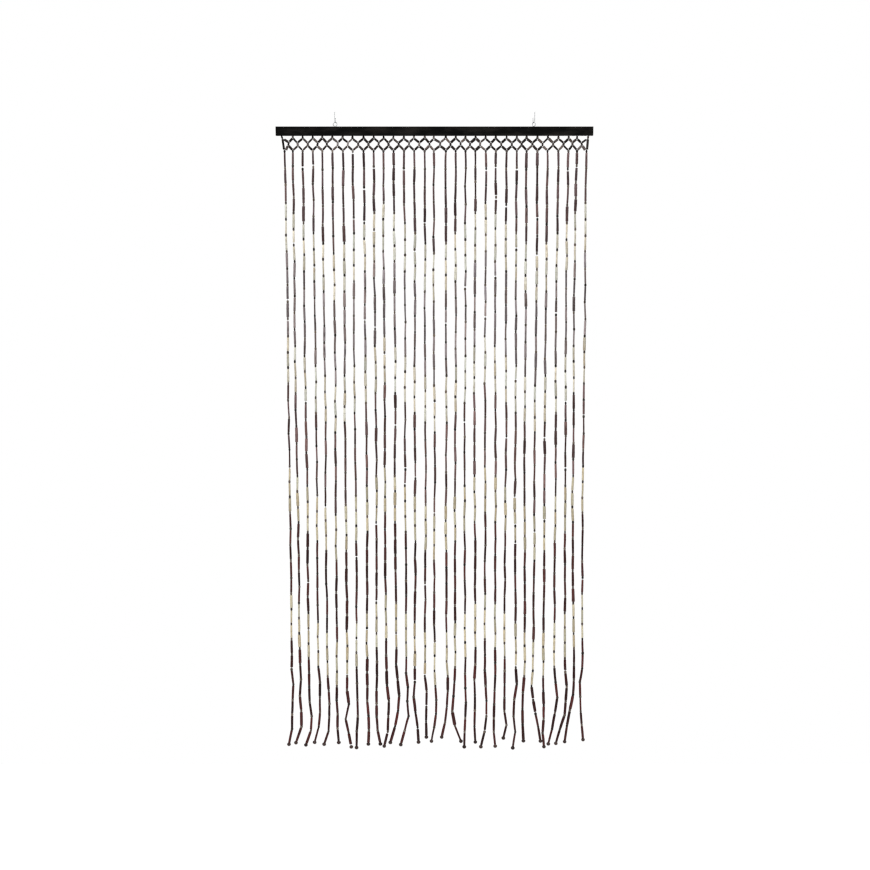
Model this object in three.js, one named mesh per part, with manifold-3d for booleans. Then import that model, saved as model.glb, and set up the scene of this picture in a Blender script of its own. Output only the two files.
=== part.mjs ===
// Bamboo door curtain on a wooden rail.
// A black batten hangs by two screw eyes on two wire hooks. Under it a heading net, one row of
// six-sided cells, carries the strands: chains of bamboo tubes that end in round beads.
// Millimetres, +Z up. The front looks towards -Y, so +X is to the right of someone who faces it.
// The origin lies midway between the two hooks, level with their tops.
import * as THREE from 'three';
import { mergeVertices } from 'three/addons/utils/BufferGeometryUtils.js';
import Module from 'manifold-3d';

// Driving dimensions

const CLEARANCE = 0.3; // between pieces that rest on each other

const RAIL_LENGTH = 1000;
const RAIL_HEIGHT = 28;
const RAIL_DEPTH = 18;
const RAIL_EDGE = 1.2; // chamfer along the long edges

const HOOK_DROP = 46; // from the top of a hook down to the top of the rail
const HOOK_WIRE_RADIUS = 1.15;
const HOOK_BEND_RADIUS = 4.0;
const HOOK_TAIL = 11; // straight end of the wire beside the shank
const HOOK_BEND_STEPS = 8;

const EYE_WIRE_RADIUS = 1.1;
const EYE_RADIUS = 6.4; // middle of the wire
const EYE_STEM = 0.6; // clear height of the ring above the rail

const WIRE_SIDES = 6;
const EYE_SIDES = 20;

const HANGERS = [
  { side: 'left', x: -313, eyeTurn: 22 }, // degrees about the vertical, from flat to the front
  { side: 'right', x: 313, eyeTurn: -45 },
];

const NET_BAR = 5.5; // width and depth of the net's tubes
const NET_UPPER_NODE = 8; // below the rail: where two diagonals leave a stub
const NET_CROSSING = 26; // below the rail: middle of the bead where diagonals of neighbours cross
const NET_CROSSING_BEAD = 8; // height of that bead
const NET_HEIGHT = 45.5; // below the rail: where the strands start
const NET_END_SPREAD = { left: 6.5, right: 4 }; // the end strands' upper nodes stand this far out
const NET_END_STUB_LEAN = { left: 3, right: 1 }; // and their stubs lean this far out again

const STRAND_PITCH = 32;
const STRAND_LENGTH = 1937; // from the net to the middle of the end bead, on average
const STRAND_RADIUS = 3.3;
const STRAND_SIDES = 4;
const STRAND_ROOT = 1; // how far a strand reaches up into the net
const END_BEAD_RADIUS = 6;

// The pattern along a strand: a dark run, then natural and dark groups in turn, then a dark run
const TOP_RUN = 163;
const ZIGZAG_STEP = 31.8; // each strand's groups start this much lower than its neighbour's
const ZIGZAG_STRANDS = 5; // from a peak of the zigzag to the next valley
const NATURAL_GROUPS = 4;
const NATURAL_TUBES = 3;
const NATURAL_PITCH = 51;
const DARK_TUBES = 5;
const DARK_PITCH = 53.8;
const BOTTOM_PITCH = 50;

const DEPTH_SWAY = 6; // how far tips hang in front of or behind the net
const DEPTH_SWAY_TURN = 2.4; // radians of that sway from one strand to the next
const DEPTH_SWAY_GROWTH = 1.5; // power of its growth down a strand
const UPPER_WAVE = 1.5; // sideways unevenness of the long straight part
const UPPER_WAVE_TURN = 9; // radians of it down that part

// One row for each strand, left to right, in millimetres.
// shift: the strand's top, sideways from its even place. bow: its upper part's middle, sideways from
// straight. drop: its tip, below the average length.
// joint5 to joint1, tip: sideways from plumb at the last joints, counted up from the tip.
const STRAND_COLUMNS = ['shift', 'bow', 'drop', 'joint5', 'joint4', 'joint3', 'joint2', 'joint1', 'tip'];
const STRANDS = [
  [7, 3, 4, 1, 6, 3, 1, 0, -11],
  [1, -1, 0, 3, 5, 1, 5, 5, -14],
  [0, 0, 4, 2, 2, 3, 9, 6, -11],
  [0, 1, -1, 0, 5, 4, 4, -1, -15],
  [-2, 0, 4, 1, 4, 6, 5, 2, -13],
  [-2, 2, -3, 0, -1, -2, 1, 0, 4],
  [-1, 1, 15, 0, -1, 5, -6, 3, 12],
  [-2, 1, 14, 1, 2, 3, 4, 0, -1],
  [0, 3, 4, 1, 2, 1, 5, 6, 4],
  [0, 1, 4, 2, 0, 0, 0, 3, 12],
  [-1, -2, 9, 3, 4, 10, 8, 6, -6],
  [-1, 1, 0, 2, 7, 12, 8, -2, -18],
  [0, 1, 4, 2, 8, 6, 10, -3, -16],
  [0, 2, -4, -1, -1, -5, 1, 8, 11],
  [1, 2, -19, 0, -1, 5, 4, 3, 4],
  [-2, 0, -9, 2, 5, 8, 7, 1, -8],
  [4, -1, -19, 4, 8, 8, 5, -1, -12],
  [3, 0, -6, 1, -1, -4, -8, 1, 21],
  [2, -1, 12, 3, 4, 6, 4, 2, 1],
  [1, -2, -1, 6, 3, 5, 5, 4, 7],
  [2, 0, 11, 4, 7, 10, 10, 4, -8],
  [2, -1, 11, 7, 5, 4, 3, 3, 8],
  [4, 0, -16, 4, 4, 4, 4, 11, 1],
  [4, -3, 15, 8, 12, 4, 2, 8, 0],
  [3, -3, -6, 8, 6, 2, 1, 2, 5],
  [5, 1, -8, 0, -4, 2, 10, 19, 27],
  [5, -1, 12, 2, 3, 5, 5, 2, 7],
  [7, -2, 5, 5, 10, 16, 9, 0, -12],
  [7, -5, -1, 9, 14, 11, 8, -7, -20],
  [2, -8, -4, 11, 11, 9, -1, -10, -17],
  [0, -2, -11, 8, 1, 3, 5, 9, 14],
].map((row) => Object.fromEntries(STRAND_COLUMNS.map((name, column) => [name, row[column]])));

// Heights that follow from them

const RAIL_TOP = -HOOK_DROP;
const RAIL_UNDERSIDE = RAIL_TOP - RAIL_HEIGHT;
const NET_TOP = RAIL_UNDERSIDE - CLEARANCE;
const STRAND_TOP = RAIL_UNDERSIDE - NET_HEIGHT;

// Shape helpers

const FULL_TURN = 2 * Math.PI;

// A path of straight lengths: each step of an extrusion along it ends on one of its points.
class JointedPath extends THREE.Curve {
  constructor(points) {
    super();
    this.points = points;
  }

  get steps() {
    return this.points.length - 1;
  }

  getPoint(t, target = new THREE.Vector3()) {
    const index = Math.min(Math.floor(t * this.steps), this.steps - 1);
    return target.lerpVectors(this.points[index], this.points[index + 1], t * this.steps - index);
  }

  getPointAt(u, target) {
    return this.getPoint(u, target);
  }

  getTangentAt(u, target = new THREE.Vector3()) {
    const index = Math.round(u * this.steps);
    const before = this.points[Math.max(index - 1, 0)];
    const after = this.points[Math.min(index + 1, this.steps)];
    return target.subVectors(after, before).normalize();
  }
}

function polygon(sides, radius) {
  const corner = (index) => {
    const angle = (index / sides) * FULL_TURN;
    return new THREE.Vector2(radius * Math.cos(angle), radius * Math.sin(angle));
  };
  return new THREE.Shape(Array.from({ length: sides }, (_, index) => corner(index)));
}

// A bar of a regular section along a chain of points.
function bar(points, sides, radius) {
  const path = new JointedPath(points);
  return new THREE.ExtrudeGeometry(polygon(sides, radius), { steps: path.steps, extrudePath: path });
}

// The corners of a chain of points whose edges are all moved to their left by a distance.
function offsetChain(points, distance, closed = false) {
  const count = points.length;
  const edgeNormal = (index) => {
    const start = points[(index + count) % count];
    const end = points[(index + 1 + count) % count];
    return new THREE.Vector2(start.y - end.y, end.x - start.x).normalize();
  };
  return points.map((point, index) => {
    const isStart = !closed && index === 0;
    const isEnd = !closed && index === count - 1;
    const before = edgeNormal(isStart ? index : index - 1);
    const after = edgeNormal(isEnd ? index - 1 : index);
    const corner = before.clone().add(after);
    return corner.multiplyScalar(distance / (1 + before.dot(after))).add(point);
  });
}

// Joins

const MERGE_DISTANCE = 1e-4; // corners closer than this are one

const wasm = await Module();
wasm.setup();

function toSolid(geometry) {
  const bare = geometry.clone();
  bare.deleteAttribute('normal');
  bare.deleteAttribute('uv');
  const merged = mergeVertices(bare, MERGE_DISTANCE);
  const vertProperties = new Float32Array(merged.attributes.position.array);
  const triVerts = new Uint32Array(merged.index.array);
  return new wasm.Manifold(new wasm.Mesh({ numProp: 3, vertProperties, triVerts }));
}

function fuse(geometries) {
  const mesh = geometries.map(toSolid).reduce((whole, piece) => whole.add(piece)).getMesh();
  const fused = new THREE.BufferGeometry();
  fused.setAttribute('position', new THREE.BufferAttribute(mesh.vertProperties, 3));
  fused.setIndex(new THREE.BufferAttribute(mesh.triVerts, 1));
  fused.computeVertexNormals();
  return fused;
}

// Strands

function strandX(strand) {
  const middle = (STRANDS.length - 1) / 2;
  return (strand - middle) * STRAND_PITCH + STRANDS[strand].shift;
}

// Steps down the zigzag: 0 at a peak, ZIGZAG_STRANDS at a valley.
function zigzagLevel(strand) {
  return ZIGZAG_STRANDS - Math.abs((strand % (2 * ZIGZAG_STRANDS)) - ZIGZAG_STRANDS);
}

// Distances below the strand's top of every joint between tubes. bend marks the ends of a group.
function strandJoints(strand) {
  const joints = [{ drop: 0, bend: true }];
  const addGroup = (length, tubes) => {
    const start = joints.at(-1).drop;
    for (let tube = 1; tube <= tubes; tube += 1) {
      joints.push({ drop: start + (length * tube) / tubes, bend: tube === tubes });
    }
  };
  const topRun = TOP_RUN + ZIGZAG_STEP * zigzagLevel(strand);
  addGroup(topRun, Math.round(topRun / DARK_PITCH));
  for (let group = 1; group <= NATURAL_GROUPS; group += 1) {
    addGroup(NATURAL_TUBES * NATURAL_PITCH, NATURAL_TUBES);
    if (group < NATURAL_GROUPS) addGroup(DARK_TUBES * DARK_PITCH, DARK_TUBES);
  }
  const bottomRun = STRAND_LENGTH + STRANDS[strand].drop - joints.at(-1).drop;
  addGroup(bottomRun, Math.round(bottomRun / BOTTOM_PITCH));
  return joints;
}

// The joints that bend: the ends of each group, and the last few above the tip.
function strandPath(strand) {
  const joints = strandJoints(strand);
  const row = STRANDS[strand];
  const lastBends = [row.joint5, row.joint4, row.joint3, row.joint2, row.joint1, row.tip];
  const firstBend = joints.length - lastBends.length;
  const tipDrop = joints.at(-1).drop;
  const depth = DEPTH_SWAY * Math.sin(DEPTH_SWAY_TURN * strand);
  const sideways = (joint, index) => {
    if (index >= firstBend) return lastBends[index - firstBend];
    const share = joint.drop / joints[firstBend].drop;
    const wave = UPPER_WAVE * Math.sin(strand + UPPER_WAVE_TURN * share);
    return share * lastBends[0] + Math.sin(Math.PI * share) * (row.bow + wave);
  };
  const points = joints.map((joint, index) => new THREE.Vector3(
    strandX(strand) + sideways(joint, index),
    depth * (joint.drop / tipDrop) ** DEPTH_SWAY_GROWTH,
    STRAND_TOP - joint.drop,
  ));
  points[0].z += STRAND_ROOT;
  return points.filter((_, index) => joints[index].bend || index >= firstBend);
}

function strandGeometries(strand) {
  const path = strandPath(strand);
  const tip = path.at(-1);
  const bead = new THREE.IcosahedronGeometry(END_BEAD_RADIUS).translate(tip.x, tip.y, tip.z);
  return [bar(path, STRAND_SIDES, STRAND_RADIUS), bead];
}

// Heading net

function netGeometry() {
  const last = STRANDS.length - 1;
  const half = NET_BAR / 2;
  const point = (x, z) => new THREE.Vector2(x, z);
  const outward = (index, reach) => {
    if (index === 0) return -reach.left;
    return index === last ? reach.right : 0;
  };
  const indices = STRANDS.map((_, index) => index);
  const upperX = (index) => strandX(index) + outward(index, NET_END_SPREAD);
  const stubs = indices.map((index) => point(upperX(index) + outward(index, NET_END_STUB_LEAN), NET_TOP));
  const uppers = indices.map((index) => point(upperX(index), RAIL_UNDERSIDE - NET_UPPER_NODE));
  const lowers = indices.map((index) => point(strandX(index), STRAND_TOP));
  const crossings = indices.slice(0, last).map((index) => {
    const x = (strandX(index) + strandX(index + 1)) / 2;
    const z = RAIL_UNDERSIDE - NET_CROSSING;
    return { top: point(x, z + NET_CROSSING_BEAD / 2), foot: point(x, z - NET_CROSSING_BEAD / 2) };
  });

  // Top edge from left to right: the notches between the stubs, which keep their flat tops
  const topEdge = crossings.flatMap((crossing, index) => {
    const notch = [stubs[index], uppers[index], crossing.top, uppers[index + 1], stubs[index + 1]];
    const corners = offsetChain(notch, half);
    corners[0].y = NET_TOP;
    corners.at(-1).y = NET_TOP;
    return corners;
  });

  // Down the right end, back along the strand tops and up the left end
  const zigzag = indices.slice(0, last).reverse().flatMap((index) => [crossings[index].foot, lowers[index]]);
  const ends = [stubs[last], uppers[last], lowers[last], ...zigzag, uppers[0], stubs[0]];
  const lowerEdge = offsetChain(ends, half);
  lowerEdge[0].y = NET_TOP;
  lowerEdge.at(-1).y = NET_TOP;

  const outline = new THREE.Shape([...topEdge, ...lowerEdge]);
  outline.holes = indices.map((index) => {
    const before = crossings[index - 1];
    const after = crossings[index];
    const corners = [uppers[index], before?.top, before?.foot, lowers[index], after?.foot, after?.top];
    return new THREE.Path(offsetChain(corners.filter(Boolean), half, true));
  });
  const plate = new THREE.ExtrudeGeometry(outline, { depth: NET_BAR, bevelEnabled: false });
  return plate.rotateX(Math.PI / 2).translate(0, half, 0);
}

// Rail

function railGeometry() {
  const y = RAIL_DEPTH / 2;
  const z = RAIL_HEIGHT / 2;
  const section = new THREE.Shape();
  section.moveTo(-y + RAIL_EDGE, -z);
  section.lineTo(y - RAIL_EDGE, -z);
  section.lineTo(y, -z + RAIL_EDGE);
  section.lineTo(y, z - RAIL_EDGE);
  section.lineTo(y - RAIL_EDGE, z);
  section.lineTo(-y + RAIL_EDGE, z);
  section.lineTo(-y, z - RAIL_EDGE);
  section.lineTo(-y, -z + RAIL_EDGE);
  section.closePath();
  const batten = new THREE.ExtrudeGeometry(section, { depth: RAIL_LENGTH, bevelEnabled: false });
  batten.translate(0, 0, -RAIL_LENGTH / 2);
  return batten.rotateZ(Math.PI / 2).rotateY(Math.PI / 2);
}

// Hangers: a ring on a short stem, and a hook whose bend passes under the top of the ring

const EYE_CENTRE = EYE_STEM + EYE_WIRE_RADIUS + EYE_RADIUS; // above the top of the rail
const HOOK_BEND_LOW = EYE_CENTRE + EYE_RADIUS - EYE_WIRE_RADIUS - HOOK_WIRE_RADIUS - CLEARANCE;

function eyeGeometry() {
  const ring = new THREE.TorusGeometry(EYE_RADIUS, EYE_WIRE_RADIUS, WIRE_SIDES, EYE_SIDES);
  ring.rotateX(Math.PI / 2).translate(0, 0, EYE_CENTRE);
  const stemTop = EYE_CENTRE - EYE_RADIUS;
  const stem = bar([new THREE.Vector3(0, 0, CLEARANCE), new THREE.Vector3(0, 0, stemTop)], WIRE_SIDES,
    EYE_WIRE_RADIUS);
  return fuse([ring, stem]);
}

// In the plane across the ring: shank at the back, bend through the ring, tail in front.
function hookGeometry() {
  const bendCentre = HOOK_BEND_LOW + HOOK_BEND_RADIUS;
  const bend = Array.from({ length: HOOK_BEND_STEPS + 1 }, (_, step) => {
    const angle = (Math.PI * step) / HOOK_BEND_STEPS;
    const y = HOOK_BEND_RADIUS * Math.cos(angle);
    return new THREE.Vector3(0, y, bendCentre - HOOK_BEND_RADIUS * Math.sin(angle));
  });
  const shankTop = new THREE.Vector3(0, HOOK_BEND_RADIUS, HOOK_DROP);
  const tailTop = new THREE.Vector3(0, -HOOK_BEND_RADIUS, bendCentre + HOOK_TAIL);
  return bar([shankTop, ...bend, tailTop], WIRE_SIDES, HOOK_WIRE_RADIUS);
}

// Assembly

const materials = {
  rail: new THREE.MeshStandardMaterial({ color: 0x161514, roughness: 0.45, metalness: 0 }),
  bamboo: new THREE.MeshStandardMaterial({ color: 0x3f2a27, roughness: 0.4, metalness: 0 }),
  wire: new THREE.MeshStandardMaterial({ color: 0xc2c4c6, roughness: 0.3, metalness: 1 }),
};

function piece(name, geometry, material) {
  const mesh = new THREE.Mesh(geometry, material);
  mesh.name = name;
  return mesh;
}

function hanger({ side, x, eyeTurn }) {
  const group = new THREE.Group();
  group.position.set(x, 0, RAIL_TOP);
  group.rotation.z = THREE.MathUtils.degToRad(eyeTurn);
  group.add(piece(`eye_${side}`, eyeGeometry(), materials.wire));
  group.add(piece(`hook_${side}`, hookGeometry(), materials.wire));
  return group;
}

const curtain = new THREE.Group();

const rail = piece('rail', railGeometry(), materials.rail);
rail.position.z = RAIL_TOP - RAIL_HEIGHT / 2;
curtain.add(rail);

const strands = STRANDS.flatMap((_, index) => strandGeometries(index));
curtain.add(piece('bead_net', fuse([netGeometry(), ...strands]), materials.bamboo));

HANGERS.forEach((row) => curtain.add(hanger(row)));

export default curtain;
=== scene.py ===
"""Bamboo door curtain on a wooden rail: every tube, bead and thread of it, in the part's own frame.

Metres, +Z up. The front looks towards -Y and the origin lies midway between the tops of the two hooks.
"""
import itertools
import math
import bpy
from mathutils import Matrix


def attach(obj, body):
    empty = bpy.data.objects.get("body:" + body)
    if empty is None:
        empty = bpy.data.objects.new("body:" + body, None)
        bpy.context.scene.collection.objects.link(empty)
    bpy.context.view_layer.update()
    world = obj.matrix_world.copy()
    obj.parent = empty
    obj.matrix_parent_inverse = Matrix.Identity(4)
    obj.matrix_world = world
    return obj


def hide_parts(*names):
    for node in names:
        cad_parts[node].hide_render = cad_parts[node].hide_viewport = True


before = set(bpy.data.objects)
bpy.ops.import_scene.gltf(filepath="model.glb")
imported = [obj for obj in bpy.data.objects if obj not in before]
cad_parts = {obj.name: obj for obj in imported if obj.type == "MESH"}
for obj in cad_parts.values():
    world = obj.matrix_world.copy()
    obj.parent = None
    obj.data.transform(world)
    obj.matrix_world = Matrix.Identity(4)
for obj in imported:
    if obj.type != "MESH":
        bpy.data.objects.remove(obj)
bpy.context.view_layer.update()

from types import SimpleNamespace

import bmesh
import bpy
import numpy as np

MM = 0.001
RIGHT = np.array((1.0, 0.0, 0.0))
FRONT = np.array((0.0, -1.0, 0.0))
DOWN = np.array((0.0, 0.0, -1.0))

SEED = 31
rng = np.random.default_rng(SEED)

# Sizes shared with the solids

CLEARANCE = 0.3 * MM  # between pieces that rest on each other

RAIL_LENGTH = 1000 * MM
RAIL_HEIGHT = 28 * MM
RAIL_DEPTH = 18 * MM
RAIL_EDGE = 1.2 * MM

HOOK_DROP = 46 * MM  # from the top of a hook down to the top of the rail
HOOK_WIRE_RADIUS = 1.15 * MM
HOOK_BEND_RADIUS = 4.0 * MM
HOOK_TAIL = 11 * MM  # straight end of the wire beside the shank

EYE_WIRE_RADIUS = 1.1 * MM
EYE_RADIUS = 6.4 * MM  # middle of the wire
EYE_STEM = 0.6 * MM  # clear height of the ring above the rail

# eye_turn: degrees about the vertical, from flat to the front
HANGERS = (
    {"side": "left", "x": -313 * MM, "eye_turn": 22},
    {"side": "right", "x": 313 * MM, "eye_turn": -45},
)

NET_UPPER_NODE = 8 * MM  # below the rail: where two diagonals leave a stub
NET_CROSSING = 26 * MM  # below the rail: middle of the bead where diagonals of neighbours cross
NET_CROSSING_BEAD = 8 * MM  # height of that bead
NET_HEIGHT = 45.5 * MM  # below the rail: where the strands start
NET_END_SPREAD = {"left": 6.5 * MM, "right": 4 * MM}  # the end strands' upper nodes stand this far out
NET_END_STUB_LEAN = {"left": 3 * MM, "right": 1 * MM}  # and their stubs lean this far out again

STRAND_PITCH = 32 * MM
STRAND_LENGTH = 1937 * MM  # from the net to the middle of the end bead, on average
END_BEAD_RADIUS = 6 * MM

TOP_RUN = 163 * MM
ZIGZAG_STEP = 31.8 * MM  # between the starts of the groups on neighbouring strands
ZIGZAG_STRANDS = 5  # from a peak of the zigzag to the next valley
NATURAL_TUBES = 3
NATURAL_PITCH = 51 * MM
DARK_TUBES = 5
DARK_PITCH = 53.8 * MM
BOTTOM_PITCH = 50 * MM

DEPTH_SWAY = 6 * MM  # how far tips hang in front of or behind the net
DEPTH_SWAY_TURN = 2.4  # radians of that sway from one strand to the next
DEPTH_SWAY_GROWTH = 1.5  # power of its growth down a strand
UPPER_WAVE = 1.5 * MM  # sideways unevenness of the long straight part
UPPER_WAVE_TURN = 9  # radians of it down that part

# One row for each strand, left to right, in millimetres.
# shift: the strand's top, sideways from its even place. bow: its upper part's middle, sideways from
# straight. drop: its tip, below the average length.
# joint5 to joint1, tip: sideways from plumb at the last joints, counted up from the tip.
STRAND_COLUMNS = ("shift", "bow", "drop", "joint5", "joint4", "joint3", "joint2", "joint1", "tip")
LAST_BENDS = STRAND_COLUMNS[STRAND_COLUMNS.index("joint5"):]
STRAND_ROWS = (
    (7, 3, 4, 1, 6, 3, 1, 0, -11),
    (1, -1, 0, 3, 5, 1, 5, 5, -14),
    (0, 0, 4, 2, 2, 3, 9, 6, -11),
    (0, 1, -1, 0, 5, 4, 4, -1, -15),
    (-2, 0, 4, 1, 4, 6, 5, 2, -13),
    (-2, 2, -3, 0, -1, -2, 1, 0, 4),
    (-1, 1, 15, 0, -1, 5, -6, 3, 12),
    (-2, 1, 14, 1, 2, 3, 4, 0, -1),
    (0, 3, 4, 1, 2, 1, 5, 6, 4),
    (0, 1, 4, 2, 0, 0, 0, 3, 12),
    (-1, -2, 9, 3, 4, 10, 8, 6, -6),
    (-1, 1, 0, 2, 7, 12, 8, -2, -18),
    (0, 1, 4, 2, 8, 6, 10, -3, -16),
    (0, 2, -4, -1, -1, -5, 1, 8, 11),
    (1, 2, -19, 0, -1, 5, 4, 3, 4),
    (-2, 0, -9, 2, 5, 8, 7, 1, -8),
    (4, -1, -19, 4, 8, 8, 5, -1, -12),
    (3, 0, -6, 1, -1, -4, -8, 1, 21),
    (2, -1, 12, 3, 4, 6, 4, 2, 1),
    (1, -2, -1, 6, 3, 5, 5, 4, 7),
    (2, 0, 11, 4, 7, 10, 10, 4, -8),
    (2, -1, 11, 7, 5, 4, 3, 3, 8),
    (4, 0, -16, 4, 4, 4, 4, 11, 1),
    (4, -3, 15, 8, 12, 4, 2, 8, 0),
    (3, -3, -6, 8, 6, 2, 1, 2, 5),
    (5, 1, -8, 0, -4, 2, 10, 19, 27),
    (5, -1, 12, 2, 3, 5, 5, 2, 7),
    (7, -2, 5, 5, 10, 16, 9, 0, -12),
    (7, -5, -1, 9, 14, 11, 8, -7, -20),
    (2, -8, -4, 11, 11, 9, -1, -10, -17),
    (0, -2, -11, 8, 1, 3, 5, 9, 14),
)
STRANDS = [dict(zip(STRAND_COLUMNS, row)) for row in STRAND_ROWS]

# Heights that follow from them

RAIL_TOP = -HOOK_DROP
RAIL_UNDERSIDE = RAIL_TOP - RAIL_HEIGHT
NET_TOP = RAIL_UNDERSIDE - CLEARANCE
STRAND_TOP = RAIL_UNDERSIDE - NET_HEIGHT

EYE_CENTRE = EYE_STEM + EYE_WIRE_RADIUS + EYE_RADIUS  # above the rail's top
HOOK_BEND_LOW = EYE_CENTRE + EYE_RADIUS - EYE_WIRE_RADIUS - HOOK_WIRE_RADIUS - CLEARANCE

# Tubes

TUBE_SIDES = 16
TUBE_EDGE = 0.45 * MM  # bevel of a cut end
TUBE_BORE = 0.45  # of the radius
TUBE_TAPER = 0.06  # of the radius, at most: thicker at one end, thinner at the other
TUBE_BOW = 0.5 * MM  # how far the middle of a bent tube stands off, at most
TUBE_UNEVEN = 0.02  # of the radius, at most
NODE_PLACE = (0.25, 0.75)  # of the length: where the ring may be from which a leaf grew
NODE_SWELL = 0.10  # of the radius, at most
NODE_HALF_WIDTH = 1.6 * MM
NODE_WIDTH_LIMIT = 0.125  # of the length, on short tubes
RADIUS_SPREAD = 0.13  # of the thickness of single tubes
STRAND_SPREAD = 0.06  # of the thickness of all the tubes on a strand
THICKNESS_RANGE = (0.75, 1.35)  # of the usual radius

JOINT_SHIFT = 2.0 * MM  # of a joint along its strand, at most
JOINT_JOG = 1.4 * MM  # of a joint off its strand, at most
SLACK = (0.0, 0.2 * MM)  # bare thread between a tube and a bead
LOOSE_SLACK = (2.0 * MM, 4.5 * MM)
LOOSE_SHARE = 0.03
LOOSE_SHARE_AT_TOP = 0.18
TOP_JOINTS = 2

# Beads and threads

BEAD_BORE = 0.9 * MM
SPACER_RADIUS = 3.4 * MM  # beside natural tubes
SPACER_SHARE = 0.98  # between dark tubes: of their radius
SPACER_HALF_LENGTH = 4.7 * MM
END_BEAD_WIDTH = 6.4 * MM  # radius across: end beads are a little wider than high

NET_TUBE_RADIUS = 3.7 * MM
NET_BEAD_RADIUS = 3.5 * MM
NET_BEAD_SEAT = 1.8 * MM  # how far a bead reaches in between the tubes that end at it
NET_FOOT_BEAD = 7.5 * MM  # height of the bead at each strand's top
NET_SPREAD = 1.5 * MM  # of a node off its even place, at most
NET_GAP = 2.8 * MM  # from a node to the tubes that meet there
NET_END_GAP = 6.8 * MM  # the same where they meet at a narrow angle
NET_END_FOOT_GAP = 1.4 * MM  # the same at the foot of an end strand's diagonal
NET_END_FOOT = 1.5 * MM  # how far out from its strand an end tube's foot stands

THREAD_RADIUS = 0.5 * MM
THREAD_SIDES = 6

# Rail and wire

RAIL_EDGE_STEPS = 4
RAIL_CUTS = 40  # along the rail, for its unevenness
RAIL_CUT_REACH = 490 * MM  # from the middle to the last of them
RAIL_SUPPORT = 2.5 * MM  # from the edges to the cuts that hold their rounding
RAIL_UNEVEN = 0.12 * MM
RAIL_WAVES = ((23, 0), (61, 1.3))  # radians for each metre, and at the middle
CUT_TOLERANCE = 0.01 * MM

EYE_START = 20  # degrees from the stem to where the ring begins and ends
EYE_STEPS = 48
HOOK_BEND_STEPS = 24
WIRE_SIDES = 14

SHARP_ANGLE = math.radians(50)
RAIL_SHARP_ANGLE = math.radians(35)

# Colours, linear

TINT_SKEW = 1.3  # above 1, more shapes are dark than light
NET_TINT_SKEW = 3.5  # most of the heading is nearly black, and a few of its pieces are grey
HUE_SPREAD = 0.06  # of the red and, the other way, of the blue
NODE_TINT = 0.75
CUT_TINT = 0.7

# Each group's darkest and lightest tints span its tubes' own random tones, and they also hold painted light.
# A painted sheen, like a frontal lamp's reflection, lightens and greys the upper dark group and the two
# upper natural groups the most. It lightens the top run and the middle group less. The lower groups carry
# the least of it, so they are darker and redder.
TUBE_LOOKS = {
    "top": {
        "radius": 3.71 * MM,
        "darkest": (0.037, 0.019, 0.020),
        "lightest": (0.146, 0.092, 0.091),
    },
    "upper": {
        # the strongest painted sheen: lighter and greyer than the stain itself
        "radius": 3.4 * MM,
        "darkest": (0.109, 0.083, 0.082),
        "lightest": (0.328, 0.271, 0.270),
    },
    "middle": {
        "radius": 3.48 * MM,
        "darkest": (0.043, 0.021, 0.019),
        "lightest": (0.210, 0.123, 0.116),
    },
    "lower": {
        # darker and redder towards the bottom: little or none of the painted sheen
        "radius": 3.75 * MM,
        "darkest": (0.023, 0.0064, 0.0058),
        "lightest": (0.105, 0.035, 0.031),
        "spread": 0.09,
    },
    "bottom": {
        "radius": 4.16 * MM,
        "darkest": (0.019, 0.0039, 0.0036),
        "lightest": (0.087, 0.019, 0.017),
        "spread": 0.09,
    },
    # painted sheen on the two upper natural groups: lighter and greyer than the lower ones
    "sheened_natural": {
        "radius": 3.45 * MM,
        "darkest": (0.404, 0.373, 0.296),
        "lightest": (0.660, 0.625, 0.524),
    },
    "natural": {
        "radius": 3.6 * MM,
        "darkest": (0.349, 0.301, 0.206),
        "lightest": (0.580, 0.525, 0.380),
    },
}
NATURAL_KINDS = ("sheened_natural", "sheened_natural", "natural", "natural")  # of the natural groups, from the top: the upper two carry a painted sheen
DARK_KINDS = ("upper", "middle", "lower")  # of the dark groups between them: the painted sheen is strongest on the upper one and least on the lower one

NET_TUBE_LOOK = {
    "radius": NET_TUBE_RADIUS,
    "darkest": (0.010, 0.006, 0.005),
    "lightest": (0.160, 0.125, 0.112),
    "spread": 0.09,
    "skew": NET_TINT_SKEW,
}

# fullness is a power on a ball's outline: below 1 the bead is a barrel. spread is of the radius.
SPACER_LOOK = {
    "spread": 0.15,
    "fullness": 0.3,
    "sides": 12,
    "rings": 7,
    "darkest": (0.014, 0.010, 0.008),
    "lightest": (0.150, 0.115, 0.090),
}
END_BEAD_LOOK = {
    "spread": 0.05,
    "fullness": 1,
    "sides": 24,
    "rings": 13,
    "darkest": (0.020, 0.011, 0.010),
    "lightest": (0.065, 0.042, 0.037),
}
NET_BEAD_LOOK = {
    "spread": 0.14,
    "fullness": 0.45,
    "sides": 12,
    "rings": 7,
    "darkest": (0.014, 0.009, 0.008),
    "lightest": (0.270, 0.230, 0.210),
    "skew": NET_TINT_SKEW,
}

PAINT_DARKEST = (0.0026, 0.0026, 0.0025)
PAINT_LIGHTEST = (0.0050, 0.0049, 0.0046)
PAINT_RUBBED = (0.035, 0.030, 0.026)
WIRE_DULL = (0.44, 0.445, 0.45)
WIRE_BRIGHT = (0.62, 0.625, 0.63)
TWINE_DARKEST = (0.020, 0.014, 0.010)
TWINE_LIGHTEST = (0.050, 0.036, 0.028)
FLOOR_COLOUR = (0.8, 0.8, 0.8, 1)

# Surface patterns

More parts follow.
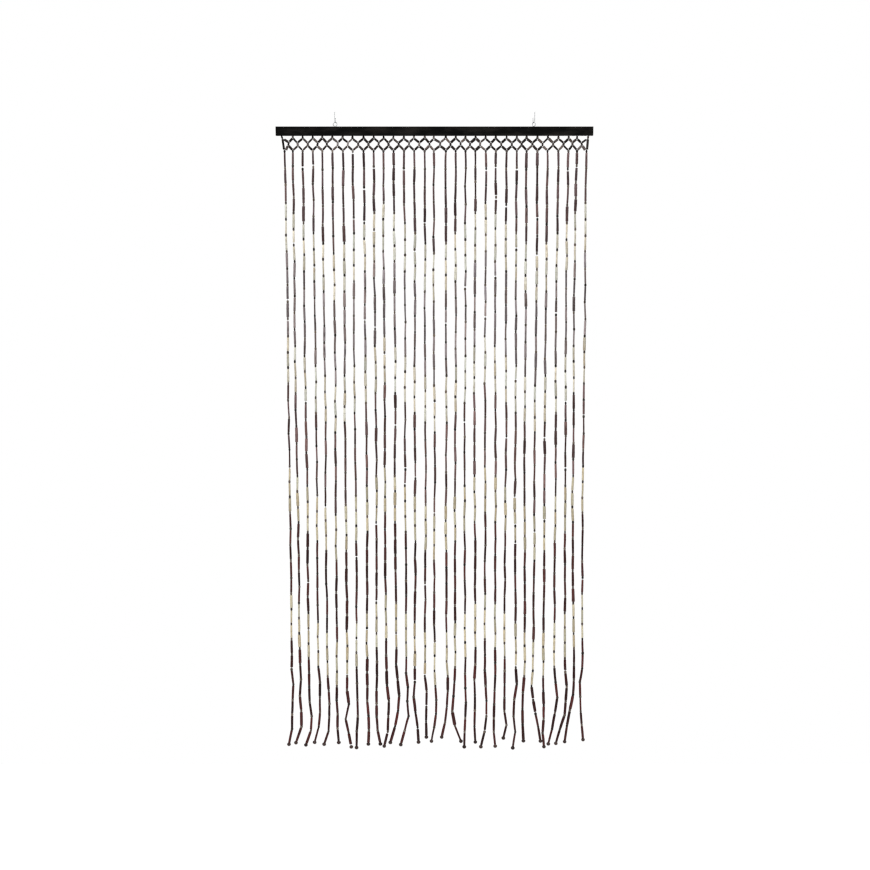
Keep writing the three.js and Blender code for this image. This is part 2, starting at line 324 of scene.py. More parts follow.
GRAIN_LENGTH = 10  # metres of grain from which each shape takes its own stretch
FIBRE_STRETCH = (1, 1, 0.05)
FIBRE_SHADE = (0.65, 1.25)
BLOTCH_STRETCH = (1, 1, 0.25)
STAIN_RANGE = (0.5, 0.75)  # of the blotches' noise, from no stain to all of it
RUBBED_RANGE = (0.45, 0.7)  # of the clouds' noise, from whole paint to the most rubbed
RUBBED_MOST = 0.5
NOISE_RANGE = (0.3, 0.7)  # most of a noise's values
FINE_DETAIL = 4
COARSE_DETAIL = 3
COLOUR_A, COLOUR_B, COLOUR_RESULT = 6, 7, 2  # sockets of a Mix node for colours

CELL_MARGIN = 0.04  # of a cell of the texture map
BORE_ON_MAP = 0.1  # of its true length
BORE_MATCH = 0.001  # of the bore: radii this close to it belong to it

# Camera, floor and light

CAMERA_DISTANCE = 4.5
CAMERA_PITCH = 7  # degrees down
CAMERA_AIM = (0.0017, 0, -1.0244)
CAMERA_LENS = 57.55
PIXEL_FILTER = 1.3  # width in pixels: tubes are about two pixels wide, so it is narrow

FLOOR_LEVEL = -2.3
FLOOR_SIDE = 2.6
FLOOR_FRONT = -2.6
FLOOR_BACK = 0.45  # near enough to show only below the strands' tips

ROOM_LIGHT = 0.12  # of the white that the backdrop shows
LAMP_COLUMNS = ("name", "place", "target", "size", "power")
LAMP_ROWS = (
    ("key", (-4.0, -2.6, 1.6), (0, 0, -1), 3.5, 200),
    ("fill", (3.8, -3.0, -0.5), (0, 0, -1), 3.0, 80),
    ("overhead", (0, 0.5, 3.0), (0, 0.501, -2.3), 8.0, 560),  # aimed 1 mm off plumb
    ("back", (2.2, 4.0, 0.6), (0, 0, -1), 3.5, 150),
)
LAMPS = [dict(zip(LAMP_COLUMNS, row)) for row in LAMP_ROWS]


# Layout of the strands. A span is the pair of a tube's or bead's ends.


def strand_x(strand):
    middle = (len(STRANDS) - 1) / 2
    return (strand - middle) * STRAND_PITCH + STRANDS[strand]["shift"] * MM


def zigzag_level(strand):
    """Steps down the zigzag: 0 at a peak, ZIGZAG_STRANDS at a valley."""
    return ZIGZAG_STRANDS - abs(strand % (2 * ZIGZAG_STRANDS) - ZIGZAG_STRANDS)


def strand_groups(strand):
    """Kind, length and number of tubes of each group down a strand."""
    top_run = TOP_RUN + ZIGZAG_STEP * zigzag_level(strand)
    natural_run = NATURAL_TUBES * NATURAL_PITCH
    dark_run = DARK_TUBES * DARK_PITCH
    length = STRAND_LENGTH + STRANDS[strand]["drop"] * MM
    bottom_run = length - top_run - len(NATURAL_KINDS) * natural_run - len(DARK_KINDS) * dark_run
    groups = [("top", top_run, round(top_run / DARK_PITCH))]
    for group, natural_kind in enumerate(NATURAL_KINDS):
        if group > 0:
            groups.append((DARK_KINDS[group - 1], dark_run, DARK_TUBES))
        groups.append((natural_kind, natural_run, NATURAL_TUBES))
    groups.append(("bottom", bottom_run, round(bottom_run / BOTTOM_PITCH)))
    return groups


def strand_joints(strand):
    """Kind of each tube, and how far below the strand's top each joint lies, unevenly inside a group."""
    kinds = []
    drops = [0.0]
    for kind, length, tubes in strand_groups(strand):
        start = drops[-1]
        kinds += [kind] * tubes
        for tube in range(1, tubes):
            drops.append(start + length * tube / tubes + JOINT_SHIFT * rng.uniform(-1, 1))
        drops.append(start + length)
    return kinds, np.array(drops)


def strand_path(strand, drops):
    """The joints' places: plumb with small jogs, then bent at the last joints as the table says."""
    bends = [STRANDS[strand][name] * MM for name in LAST_BENDS]
    first_bend = len(drops) - len(bends)
    share = drops / drops[first_bend]
    bow = STRANDS[strand]["bow"] * MM + UPPER_WAVE * np.sin(strand + UPPER_WAVE_TURN * share)
    jog = JOINT_JOG * rng.uniform(-1, 1, (2, len(drops)))
    jog[:, 0] = 0
    sideways = share * bends[0] + np.sin(np.pi * share) * bow + jog[0]
    sideways[first_bend:] = bends
    depth = DEPTH_SWAY * math.sin(DEPTH_SWAY_TURN * strand)
    depths = depth * (drops / drops[-1]) ** DEPTH_SWAY_GROWTH + jog[1]
    return np.column_stack((strand_x(strand) + sideways, depths, STRAND_TOP - drops))


def trimmed(start, end, start_gap, end_gap):
    """The span from start to end, shortened at both ends."""
    axis = (end - start) / np.linalg.norm(end - start)
    return start + axis * start_gap, end - axis * end_gap


def centred(centre, axis, half_length):
    """The span of a bead about its centre."""
    reach = axis / np.linalg.norm(axis) * half_length
    return centre - reach, centre + reach


def slack(joint):
    """Bare thread beside a joint, which is counted from the strand's top."""
    loose_share = LOOSE_SHARE_AT_TOP if joint < TOP_JOINTS else LOOSE_SHARE
    limits = LOOSE_SLACK if rng.random() < loose_share else SLACK
    return rng.uniform(*limits)


def spacer_radius(above, below):
    """Radius of the bead between tubes of two kinds."""
    if above in NATURAL_KINDS or below in NATURAL_KINDS:
        return SPACER_RADIUS
    return SPACER_SHARE * TUBE_LOOKS[above]["radius"]


def hang_strands():
    """All that hangs on the strands: spans of tubes by kind, spans of beads, and the threads' paths.

    thickness holds the strand's own factor for each of the tubes.
    """
    hung_strands = SimpleNamespace(
        tubes={kind: [] for kind in TUBE_LOOKS},
        thickness={kind: [] for kind in TUBE_LOOKS},
        spacers=[],
        spacer_radii=[],
        end_beads=[],
        threads=[],
    )
    for strand in range(len(STRANDS)):
        kinds, drops = strand_joints(strand)
        path = strand_path(strand, drops)
        last = len(kinds) - 1
        strand_thickness = math.exp(rng.normal(0, STRAND_SPREAD))
        for index, kind in enumerate(kinds):
            start_gap = slack(index) + (SPACER_HALF_LENGTH if index > 0 else NET_FOOT_BEAD)
            end_gap = slack(index + 1) + (SPACER_HALF_LENGTH if index < last else END_BEAD_RADIUS)
            hung_strands.tubes[kind].append(trimmed(path[index], path[index + 1], start_gap, end_gap))
            hung_strands.thickness[kind].append(strand_thickness)
            if index < last:
                along = path[index + 2] - path[index]
                hung_strands.spacers.append(centred(path[index + 1], along, SPACER_HALF_LENGTH))
                hung_strands.spacer_radii.append(spacer_radius(kind, kinds[index + 1]))
        end_bead = centred(path[-1], path[-1] - path[-2], END_BEAD_RADIUS)
        hung_strands.end_beads.append(end_bead)
        hung_strands.threads.append(np.vstack((path, end_bead[1])))
    return hung_strands


# Layout of the heading


def end_offset(strand, reach):
    """How far out a node of an end strand stands. The nodes of the others are even."""
    if strand == 0:
        return -reach["left"]
    if strand == len(STRANDS) - 1:
        return reach["right"]
    return 0.0


def net_nodes():
    """Where the heading's threads leave the rail, part, cross in a bead, and meet above a strand."""
    last = len(STRANDS) - 1
    stubs, uppers, lowers, crossings = [], [], [], []
    for strand in range(len(STRANDS)):
        upper_x = strand_x(strand) + end_offset(strand, NET_END_SPREAD)
        stub_x = upper_x + end_offset(strand, NET_END_STUB_LEAN)
        stubs.append(np.array((stub_x, 0, NET_TOP)))
        uppers.append(np.array((upper_x, 0, RAIL_UNDERSIDE - NET_UPPER_NODE)))
        lowers.append(np.array((strand_x(strand), 0, STRAND_TOP)))
    for strand in range(last):
        middle_x = (strand_x(strand) + strand_x(strand + 1)) / 2
        middle = np.array((middle_x, 0, RAIL_UNDERSIDE - NET_CROSSING))
        crossings.append(centred(middle, DOWN, NET_CROSSING_BEAD / 2))
    for node in (*uppers[1:last], *itertools.chain(*crossings)):
        node += NET_SPREAD * rng.uniform(-1, 1, 3)
    return stubs, uppers, lowers, crossings


def hang_net():
    """Spans of the heading's tubes and beads, and its threads' paths."""
    stubs, uppers, lowers, crossings = net_nodes()
    last = len(STRANDS) - 1
    tubes = []
    threads = [*zip(stubs, uppers)]
    for strand, (top, foot) in enumerate(crossings):
        for near, far in ((strand, strand + 1), (strand + 1, strand)):
            is_end = near in (0, last)
            upper_gap = NET_END_GAP if is_end else NET_GAP
            foot_gap = NET_END_FOOT_GAP if is_end else NET_GAP
            inward = (far - near) * NET_TUBE_RADIUS if is_end else 0.0
            tubes.append(trimmed(uppers[near], top, upper_gap, NET_GAP))
            tubes.append(trimmed(foot, lowers[near] + inward * RIGHT, NET_GAP, foot_gap))
            threads.append((uppers[near], top, foot, lowers[far]))
    for strand, outward in ((0, -1), (last, 1)):
        outer_foot = lowers[strand] + outward * NET_END_FOOT * RIGHT
        tubes.append(trimmed(uppers[strand], outer_foot, NET_GAP, NET_GAP))
        threads.append((uppers[strand], lowers[strand]))
    beads = [trimmed(stub, upper, 0, -NET_BEAD_SEAT) for stub, upper in zip(stubs, uppers)]
    beads += [trimmed(top, foot, -NET_BEAD_SEAT, -NET_BEAD_SEAT) for top, foot in crossings]
    beads += [trimmed(lower, lower + NET_FOOT_BEAD * DOWN, -NET_BEAD_SEAT, 0) for lower in lowers]
    return tubes, beads, threads


# Meshes


def span_lengths(spans):
    return np.linalg.norm(np.diff(np.array(spans), axis=1)[:, 0], axis=1)


def revolved(name, spans, along, radii, tints, sides, bow=0.0):
    """One mesh of many hollow turned shapes, each a closed profile turned about its own span.

    along, radii and tints have one row for each shape and one entry for each point of its profile, which
    runs down the outside and back up the bore. The attribute grain holds places along and across each shape.
    """
    spans = np.array(spans)
    count, points = radii.shape
    lengths = span_lengths(spans)[:, None]
    axes = (spans[:, 1] - spans[:, 0]) / lengths
    across = np.cross(axes, FRONT)
    across /= np.linalg.norm(across, axis=1)[:, None]
    forward = np.cross(across, axes)

    angles = np.arange(sides) / sides * math.tau
    turn = np.stack((np.cos(angles), np.sin(angles)), axis=1)
    ring = across[:, None] * turn[:, :1] + forward[:, None] * turn[:, 1:]
    bow_angle = rng.uniform(0, math.tau, count)[:, None]
    bow_side = across * np.cos(bow_angle) + forward * np.sin(bow_angle)
    bow_size = bow * rng.uniform(0, 1, count)[:, None] * (1 - (2 * along / lengths - 1) ** 2)
    middle = spans[:, None, 0] + axes[:, None] * along[..., None] + bow_side[:, None] * bow_size[..., None]
    places = middle[:, :, None] + ring[:, None] * radii[..., None, None]

    grain = np.empty((count, points, sides, 3))
    grain[..., :2] = turn * radii[..., None, None]
    grain[..., 2] = along[..., None] + rng.uniform(0, GRAIN_LENGTH, count)[:, None, None]

    here = np.arange(points)[:, None]
    after = (here + 1) % points
    side = np.arange(sides)[None]
    beside = (side + 1) % sides
    corners = ((here, side), (after, side), (after, beside), (here, beside))
    quads = np.stack([point * sides + turned for point, turned in corners], axis=2)
    quads = quads.reshape(-1, 4) + np.arange(count)[:, None, None] * points * sides

    mesh = bpy.data.meshes.new(name)
    mesh.from_pydata(places.reshape(-1, 3), [], quads.reshape(-1, 4).tolist())
    mesh.shade_smooth()
    mesh.set_sharp_from_angle(angle=SHARP_ANGLE)
    colours = np.ones((count, points, sides, 4))
    colours[..., :3] = tints[:, :, None]
    mesh.color_attributes.new("tint", "FLOAT_COLOR", "POINT").data.foreach_set("color", colours.ravel())
    mesh.attributes.new("grain", "FLOAT_VECTOR", "POINT").data.foreach_set("vector", grain.ravel())
    map_cells(mesh, along, radii, sides)
    return mesh


def map_cells(mesh, along, radii, sides):
    """A texture map with one cell for each turned shape, unrolled."""
    count, points = radii.shape
    profile = np.stack((along.mean(0), radii.mean(0)), axis=1)
    steps = np.linalg.norm(np.roll(profile, -1, axis=0) - profile, axis=1)
    in_bore = profile[:, 1] <= profile[:, 1].min() * (1 + BORE_MATCH)
    steps[in_bore & np.roll(in_bore, -1)] *= BORE_ON_MAP
    rise = np.concatenate(([0], np.cumsum(steps))) / steps.sum()
    aspect = steps.sum() / (math.tau * radii.mean())
    columns = math.ceil(math.sqrt(count * aspect))
    rows = math.ceil(count / columns)

    here = np.arange(points)[:, None]
    side = np.arange(sides)[None]
    corners = ((here, side), (here + 1, side), (here + 1, side + 1), (here, side + 1))
    unrolled = [np.stack(np.broadcast_arrays(turned / sides, rise[point]), 2) for point, turned in corners]
    in_cell = CELL_MARGIN + (1 - 2 * CELL_MARGIN) * np.stack(unrolled, axis=2)
    cell = np.arange(count)
    origin = np.stack((cell % columns, cell // columns), axis=1)
    uv = (in_cell[None] + origin[:, None, None, None]) / (columns, rows)
    mesh.uv_layers.new(name="OFBake").uv.foreach_set("vector", uv.ravel())


def picked_tints(count, darkest, lightest, skew):
    """A colour for each of a number of shapes, more often dark than light and never quite the same hue."""
    share = rng.random(count)[:, None] ** skew
    darkest, lightest = np.array(darkest), np.array(lightest)
    warmth = rng.uniform(-1, 1, count)[:, None] * (1, 0, -1)
    return (darkest + (lightest - darkest) * share) * (1 + HUE_SPREAD * warmth)


def tube_mesh(name, spans, thickness, radius, darkest, lightest, spread=RADIUS_SPREAD, skew=TINT_SKEW):
    """Cut bamboo tubes: tapered, a little bent, with one swollen node each and bevelled cut ends."""
    count = len(spans)
    lengths = span_lengths(spans)
    radii = radius * np.clip(thickness * np.exp(rng.normal(0, spread, count)), *THICKNESS_RANGE)
    node = lengths * rng.uniform(*NODE_PLACE, count)
    node_width = np.minimum(NODE_HALF_WIDTH, lengths * NODE_WIDTH_LIMIT)
    edge = np.full(count, TUBE_EDGE)
    nought = np.zeros(count)
    stations = (
        nought,
        edge,
        (edge + node - node_width) / 2,
        node - node_width,
        node,
        node + node_width,
        (node + node_width + lengths - edge) / 2,
        lengths - edge,
        lengths,
    )
    at_node = len(stations) // 2
    outside = np.stack(stations, axis=1)
    along = np.column_stack((outside, lengths, nought))

    taper = rng.uniform(-TUBE_TAPER, TUBE_TAPER, count)[:, None] * (2 * outside / lengths[:, None] - 1)
    uneven = rng.uniform(-TUBE_UNEVEN, TUBE_UNEVEN, outside.shape)
    factors = 1 + taper + uneven
    factors[:, at_node] += rng.uniform(0, NODE_SWELL, count)
    outer = radii[:, None] * factors
    outer[:, 0] = outer[:, 1] - TUBE_EDGE
    outer[:, -1] = outer[:, -2] - TUBE_EDGE
    bore = radii * TUBE_BORE
    profile = np.column_stack((outer, bore, bore))

    tints = np.repeat(picked_tints(count, darkest, lightest, skew)[:, None], profile.shape[1], axis=1)
    tints[:, at_node] *= NODE_TINT
    tints[:, 0] *= CUT_TINT
    tints[:, len(stations) - 1:] *= CUT_TINT
    return revolved(name, spans, along, profile, tints, TUBE_SIDES, TUBE_BOW)


def bead_mesh(name, spans, radius, spread, fullness, sides, rings, darkest, lightest, skew=TINT_SKEW):
    """Turned beads with a bore: balls, or barrels where their fullness is below 1."""
    count = len(spans)
    lengths = span_lengths(spans)
    radii = np.array(radius) * (1 + rng.uniform(-spread, spread, count))
    mouth = math.asin(BEAD_BORE / np.mean(radius))
    polar = np.linspace(mouth, math.pi - mouth, rings)
    along = lengths[:, None] / 2 * (1 - np.cos(polar))
    profile = radii[:, None] * np.sin(polar) ** fullness
    tints = np.repeat(picked_tints(count, darkest, lightest, skew)[:, None], rings, axis=1)
    return revolved(name, spans, along, profile, tints, sides)


def wire_mesh(name, paths, radius, sides):
    """Round wires or threads along chains of points, closed at both ends."""
    angles = np.arange(sides) / sides * math.tau
    around = np.arange(sides)
    beside = (around + 1) % sides
    places = []
    faces = []
    for path in paths:
        points = np.array(path)
        steps = np.diff(points, axis=0)
        steps /= np.linalg.norm(steps, axis=1)[:, None]
        tangents = np.vstack((steps[:1], steps[:-1] + steps[1:], steps[-1:]))
        across = np.cross(tangents[0], np.roll(tangents[0], 1) + FRONT)
        for index, (point, tangent) in enumerate(zip(points, tangents)):
            tangent = tangent / np.linalg.norm(tangent)
            across = across - tangent * (across @ tangent)
            across /= np.linalg.norm(across)
            forward = np.cross(tangent, across)
            start = len(places)
            places += [point + radius * (across * math.cos(a) + forward * math.sin(a)) for a in angles]
            if index == 0:
                faces.append((start + around[::-1]).tolist())
            else:
                before = start - sides
                quads = np.stack((before + around, before + beside, start + beside, start + around), axis=1)
                faces += quads.tolist()
        faces.append((start + around).tolist())
    mesh = bpy.data.meshes.new(name)
    mesh.from_pydata(places, [], faces)
    mesh.shade_smooth()
    mesh.set_sharp_from_angle(angle=SHARP_ANGLE)
    return mesh


def rail_shape(size):
    """A box with rounded edges, cut across for its unevenness and beside its edges for their rounding."""
    shape = bmesh.new()
    bmesh.ops.create_cube(shape, size=1)
    bmesh.ops.scale(shape, verts=shape.verts, vec=size)
    rounding = {"offset": RAIL_EDGE, "segments": RAIL_EDGE_STEPS, "profile": 0.5}
    bmesh.ops.bevel(shape, geom=shape.edges, affect="EDGES", **rounding)
    cuts = [(x * RIGHT, RIGHT) for x in np.linspace(-RAIL_CUT_REACH, RAIL_CUT_REACH, RAIL_CUTS)]
    for side in (-1, 1):
        for half, axis in zip(size / 2, np.eye(3)):
            cuts.append((side * (half - RAIL_SUPPORT) * axis, axis))
    for point, normal in cuts:
        geometry = [*shape.verts, *shape.edges, *shape.faces]
        bmesh.ops.bisect_plane(shape, geom=geometry, plane_co=point, plane_no=normal, dist=CUT_TOLERANCE)
    return shape


def rail_mesh(name):
    """The batten: rounded edges, and sides that a plane left slightly uneven."""
    size = np.array((RAIL_LENGTH, RAIL_DEPTH, RAIL_HEIGHT))
    mesh = bpy.data.meshes.new(name)
    shape = rail_shape(size)
    shape.to_mesh(mesh)
    shape.free()

    places = np.empty(len(mesh.vertices) * 3)
    mesh.vertices.foreach_get("co", places)
    places = places.reshape(-1, 3)
    to_edge = np.sort(size / 2 - np.abs(places), axis=1)[:, 1]
    wear = np.clip(1 - (to_edge - RAIL_EDGE) / RAIL_SUPPORT, 0, 1)
    wave = sum(np.sin(places[:, 0] * turn + start) for turn, start in RAIL_WAVES)
    side = np.sign(places[:, 1])
    places[:, 1] += RAIL_UNEVEN / len(RAIL_WAVES) * wave * side - RAIL_UNEVEN * side
    places[:, 2] += (RAIL_TOP + RAIL_UNDERSIDE) / 2
    mesh.vertices.foreach_set("co", places.ravel())
    mesh.attributes.new("wear", "FLOAT", "POINT").data.foreach_set("value", wear)
    mesh.update()
    mesh.shade_smooth()
    mesh.set_sharp_from_angle(angle=RAIL_SHARP_ANGLE)
    return mesh


# Wire hangers, in a frame with its origin on the rail's top: the ring lies in XZ, the hook in YZ


def eye_path():
    """Up the stem and round the ring, to a cut end that stops short of the stem."""
    angles = np.radians(np.linspace(EYE_START, 360 - EYE_START, EYE_STEPS))
    x = EYE_RADIUS * np.sin(angles)
    z = EYE_CENTRE - EYE_RADIUS * np.cos(angles)
    ring = np.column_stack((x, np.zeros(EYE_STEPS), z))
    stem = ((0, 0, CLEARANCE), (0, 0, EYE_STEM))
    return np.vstack((stem, ring))


def hook_path():
    """Down the shank at the back, through the ring and up the tail in front."""
    centre = HOOK_BEND_LOW + HOOK_BEND_RADIUS
    angles = np.linspace(0, math.pi, HOOK_BEND_STEPS)
    y = HOOK_BEND_RADIUS * np.cos(angles)
    z = centre - HOOK_BEND_RADIUS * np.sin(angles)
    bend = np.column_stack((np.zeros(HOOK_BEND_STEPS), y, z))
    shank = (0, HOOK_BEND_RADIUS, HOOK_DROP)
    tail = (0, -HOOK_BEND_RADIUS, centre + HOOK_TAIL)
    return np.vstack((shank, bend, tail))


def hung(path, hanger):
    """A path moved from the hangers' own frame to its place on the rail."""
    turn = math.radians(hanger["eye_turn"])
    cos, sin = math.cos(turn), math.sin(turn)
    x = hanger["x"] + path[:, 0] * cos - path[:, 1] * sin
    y = path[:, 0] * sin + path[:, 1] * cos
    return np.column_stack((x, y, path[:, 2] + RAIL_TOP))


# Shader nodes


def add_node(tree, kind, inputs=None, **settings):
    """A new shader node. Each input is a socket to link or a value to set."""
    node = tree.nodes.new(kind)
    for name, value in settings.items():
        setattr(node, name, value)
    for name, value in (inputs or {}).items():
        if isinstance(value, bpy.types.NodeSocket):
            tree.links.new(value, node.inputs[name])
        else:
            node.inputs[name].default_value = value
    return node


def new_material(name, **values):
    """A material with its node tree and its shader, whose sockets take the values."""
    material = bpy.data.materials.new(name)
    material.use_nodes = True
    tree = material.node_tree
    shader = tree.nodes["Principled BSDF"]
    for socket, value in values.items():
        shader.inputs[socket.replace("_", " ")].default_value = value
    return material, tree, shader


def attribute(tree, name, output):
    return add_node(tree, "ShaderNodeAttribute", attribute_name=name).outputs[output]


def object_place(tree):
    return add_node(tree, "ShaderNodeTexCoord").outputs["Object"]


def noise(tree, vector, scale, detail, stretch=(1, 1, 1)):
    """Noise along a vector whose axes are scaled by stretch first."""
    mapped = add_node(tree, "ShaderNodeMapping", {"Vector": vector, "Scale": stretch})
    inputs = {"Vector": mapped.outputs["Vector"], "Scale": scale, "Detail": detail}
    return add_node(tree, "ShaderNodeTexNoise", inputs).outputs["Fac"]


def ranged(tree, value, source, target):
    """A value carried over from one range to another."""
    inputs = {"Value": value}
    inputs["From Min"], inputs["From Max"] = source
    inputs["To Min"], inputs["To Max"] = target
    return add_node(tree, "ShaderNodeMapRange", inputs).outputs["Result"]


def mixed(tree, factor, first, second, blend="MIX"):
    node = add_node(tree, "ShaderNodeMix", {"Factor": factor}, data_type="RGBA", blend_type=blend)
    for index, value in ((COLOUR_A, first), (COLOUR_B, second)):
        if isinstance(value, bpy.types.NodeSocket):
            tree.links.new(value, node.inputs[index])
        else:
            node.inputs[index].default_value = (*value, 1)
    return node.outputs[COLOUR_RESULT]


def link_bump(tree, shader, height, strength, distance):
    inputs = {"Height": height, "Strength": strength, "Distance": distance}
    bump = add_node(tree, "ShaderNodeBump", inputs)
    tree.links.new(bump.outputs["Normal"], shader.inputs["Normal"])


# Materials


def grained_material(name, fibre_scale, blotch_scale, stain, stain_share, roughness, **values):
    """Lacquered bamboo or wood: the shapes' own tints, with fibres along them and uneven stain."""
    material, tree, shader = new_material(name, **values)
    tint = attribute(tree, "tint", "Color")
    grain = attribute(tree, "grain", "Vector")
    fibre = noise(tree, grain, fibre_scale, FINE_DETAIL, FIBRE_STRETCH)
    blotch = noise(tree, grain, blotch_scale, COARSE_DETAIL, BLOTCH_STRETCH)
    light = ranged(tree, fibre, NOISE_RANGE, FIBRE_SHADE)
    shade = add_node(tree, "ShaderNodeCombineColor", {"Red": light, "Green": light, "Blue": light})
    fibred = mixed(tree, 1, tint, shade.outputs["Color"], "MULTIPLY")
    stain_factor = ranged(tree, blotch, STAIN_RANGE, (0, stain_share))
    tree.links.new(mixed(tree, stain_factor, fibred, stain), shader.inputs["Base Color"])
    tree.links.new(ranged(tree, blotch, NOISE_RANGE, roughness), shader.inputs["Roughness"])
    link_bump(tree, shader, fibre, strength=0.3, distance=0.15 * MM)
    return material


def paint_material(name):
    """Black satin paint that follows the wood's grain, a little rubbed along the edges."""
    material, tree, shader = new_material(name, Specular_IOR_Level=0.045)
    place = object_place(tree)
    wear = attribute(tree, "wear", "Fac")
    grain = noise(tree, place, scale=700, detail=FINE_DETAIL, stretch=(0.04, 1, 1))
    cloud = noise(tree, place, scale=60, detail=COARSE_DETAIL, stretch=(0.3, 1, 1))
    colour = mixed(tree, ranged(tree, cloud, NOISE_RANGE, (0, 1)), PAINT_DARKEST, PAINT_LIGHTEST)
    patches = ranged(tree, cloud, RUBBED_RANGE, (0, RUBBED_MOST))
    broken = add_node(tree, "ShaderNodeMath", {0: wear, 1: patches}, operation="MULTIPLY")
    rubbed = mixed(tree, broken.outputs["Value"], colour, PAINT_RUBBED)
    tree.links.new(rubbed, shader.inputs["Base Color"])
    tree.links.new(ranged(tree, grain, NOISE_RANGE, (0.38, 0.55)), shader.inputs["Roughness"])
    link_bump(tree, shader, grain, strength=0.25, distance=0.2 * MM)
    return material


def wire_material(name):
    """Zinc plated wire, dulled in patches."""
    material, tree, shader = new_material(name, Metallic=1.0)
    patch = noise(tree, object_place(tree), scale=900, detail=COARSE_DETAIL)
    tree.links.new(mixed(tree, patch, WIRE_DULL, WIRE_BRIGHT), shader.inputs["Base Color"])
    tree.links.new(ranged(tree, patch, NOISE_RANGE, (0.5, 0.68)), shader.inputs["Roughness"])
    link_bump(tree, shader, patch, strength=0.1, distance=0.1 * MM)
    return material


def thread_material(name):
    """Dark twisted twine."""
    material, tree, shader = new_material(name, Specular_IOR_Level=0.2, Roughness=0.7)
    inputs = {"Vector": object_place(tree), "Scale": 350, "Distortion": 2}
    twist = add_node(tree, "ShaderNodeTexWave", inputs, bands_direction="DIAGONAL").outputs["Fac"]
    tree.links.new(mixed(tree, twist, TWINE_DARKEST, TWINE_LIGHTEST), shader.inputs["Base Color"])
    link_bump(tree, shader, twist, strength=0.4, distance=0.1 * MM)
    return material


STAINED = grained_material(
    "stained_bamboo",
    fibre_scale=1500,
    blotch_scale=120,
    stain=(0.010, 0.006, 0.005),
    stain_share=0.7,
    roughness=(0.28, 0.46),
    Specular_IOR_Level=0.14,
)
NATURAL = grained_material(
    "natural_bamboo",
    fibre_scale=1500,
    blotch_scale=130,
    stain=(0.30, 0.19, 0.10),
    stain_share=0.5,
    roughness=(0.35, 0.55),
    Specular_IOR_Level=0.25,
)
BEAD_WOOD = grained_material(
    "bead_wood",
    fibre_scale=900,
    blotch_scale=200,
    stain=(0.012, 0.008, 0.006),
    stain_share=0.6,
    roughness=(0.35, 0.55),
    Specular_IOR_Level=0.14,
)
PAINT = paint_material("black_paint")
WIRE = wire_material("zinc_wire")
TWINE = thread_material("twine")


# Pieces


def add_piece(mesh, material, replaced):
    piece = bpy.data.objects.new(mesh.name, mesh)
    bpy.context.scene.collection.objects.link(piece)
    mesh.materials.append(material)
    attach(piece, "root")
    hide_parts(replaced)


def add_hung_piece(mesh, material):
    """A piece of what hangs under the rail."""
    add_piece(mesh, material, "bead_net")


strands = hang_strands()
net_tubes, net_beads, net_threads = hang_net()

# Each group's tubes take its tints, with that group's share of the painted sheen.
for kind, look in TUBE_LOOKS.items():
    bamboo = NATURAL if kind in NATURAL_KINDS else STAINED
    tubes = tube_mesh(f"tubes_{kind}", strands.tubes[kind], strands.thickness[kind], **look)
    add_hung_piece(tubes, bamboo)

add_hung_piece(bead_mesh("spacer_beads", strands.spacers, strands.spacer_radii, **SPACER_LOOK), BEAD_WOOD)
add_hung_piece(bead_mesh("end_beads", strands.end_beads, END_BEAD_WIDTH, **END_BEAD_LOOK), BEAD_WOOD)
add_hung_piece(tube_mesh("net_tubes", net_tubes, thickness=1, **NET_TUBE_LOOK), STAINED)
add_hung_piece(bead_mesh("net_beads", net_beads, NET_BEAD_RADIUS, **NET_BEAD_LOOK), BEAD_WOOD)
add_hung_piece(wire_mesh("threads", [*strands.threads, *net_threads], THREAD_RADIUS, THREAD_SIDES), TWINE)

add_piece(rail_mesh("rail_batten"), PAINT, "rail")

for hanger in HANGERS:
    side = hanger["side"]
    eye = wire_mesh(f"screw_eye_{side}", [hung(eye_path(), hanger)], EYE_WIRE_RADIUS, WIRE_SIDES)
    hook = wire_mesh(f"wire_hook_{side}", [hung(hook_path(), hanger)], HOOK_WIRE_RADIUS, WIRE_SIDES)
    add_piece(eye, WIRE, f"eye_{side}")
    add_piece(hook, WIRE, f"hook_{side}")


# Studio


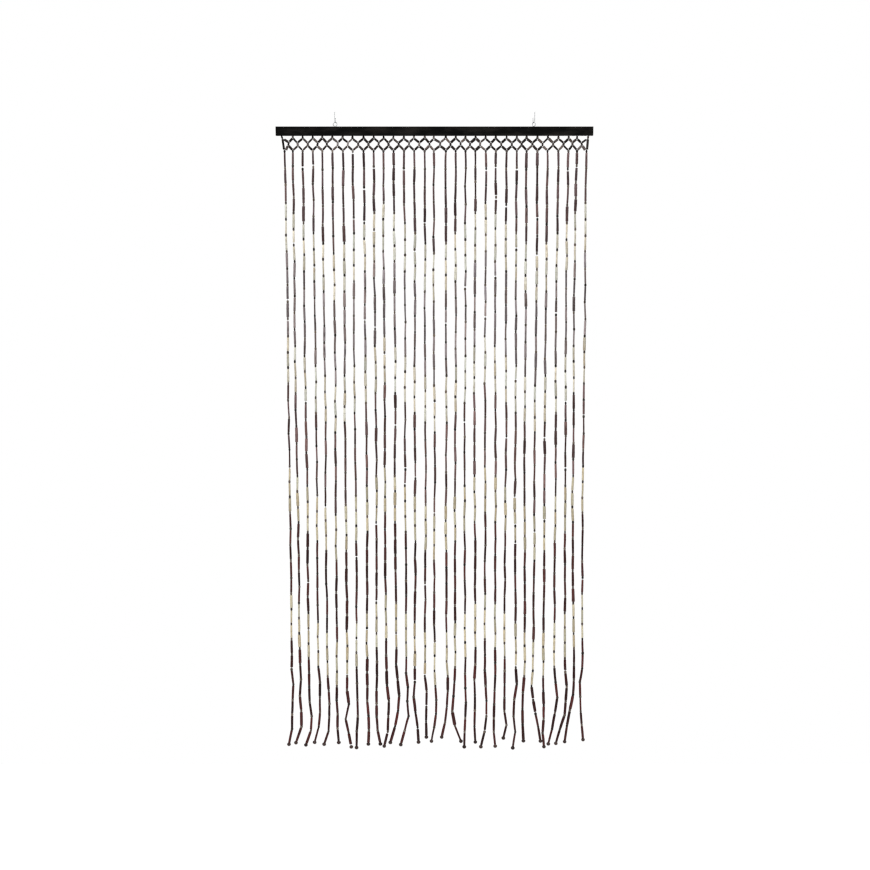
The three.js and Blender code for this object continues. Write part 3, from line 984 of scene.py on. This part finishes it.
def add_aimed(thing, place, target):
    """Adds a camera or light to the scene at a place, pointed at a target."""
    towards = np.array(target) - np.array(place)
    thing.location = place
    pitch = math.atan2(math.hypot(towards[0], towards[1]), -towards[2])
    thing.rotation_euler = (pitch, 0, math.atan2(-towards[0], towards[1]))
    bpy.context.scene.collection.objects.link(thing)


camera = bpy.data.objects.new("camera", bpy.data.cameras.new("camera"))
camera.data.lens = CAMERA_LENS
pitch_down = math.radians(CAMERA_PITCH)
camera_back = CAMERA_DISTANCE * math.cos(pitch_down)
camera_up = CAMERA_DISTANCE * math.sin(pitch_down)
camera_place = (CAMERA_AIM[0], CAMERA_AIM[1] - camera_back, CAMERA_AIM[2] + camera_up)
add_aimed(camera, camera_place, CAMERA_AIM)
bpy.context.scene.camera = camera

floor_mesh = bpy.data.meshes.new("floor")
floor_corners = (
    (-FLOOR_SIDE, FLOOR_FRONT, FLOOR_LEVEL),
    (FLOOR_SIDE, FLOOR_FRONT, FLOOR_LEVEL),
    (FLOOR_SIDE, FLOOR_BACK, FLOOR_LEVEL),
    (-FLOOR_SIDE, FLOOR_BACK, FLOOR_LEVEL),
)
floor_mesh.from_pydata(floor_corners, [], [range(len(floor_corners))])
floor = bpy.data.objects.new("floor", floor_mesh)
bpy.context.scene.collection.objects.link(floor)
floor_mesh.materials.append(new_material("pale_floor", Base_Color=FLOOR_COLOUR, Roughness=0.9)[0])

for row in LAMPS:
    lamp = bpy.data.lights.new(row["name"], "AREA")
    lamp.shape = "SQUARE"
    lamp.size = row["size"]
    lamp.energy = row["power"]
    add_aimed(bpy.data.objects.new(row["name"], lamp), row["place"], row["target"])

world = bpy.data.worlds.new("studio")
world.use_nodes = True
bpy.context.scene.world = world
background = world.node_tree.nodes["Background"]
background.inputs["Color"].default_value = (1, 1, 1, 1)
seen = add_node(world.node_tree, "ShaderNodeLightPath").outputs["Is Camera Ray"]
backdrop = ranged(world.node_tree, seen, (0, 1), (ROOM_LIGHT, 1))
world.node_tree.links.new(backdrop, background.inputs["Strength"])

bpy.context.scene.view_settings.view_transform = "Standard"
bpy.context.scene.cycles.filter_width = PIXEL_FILTER
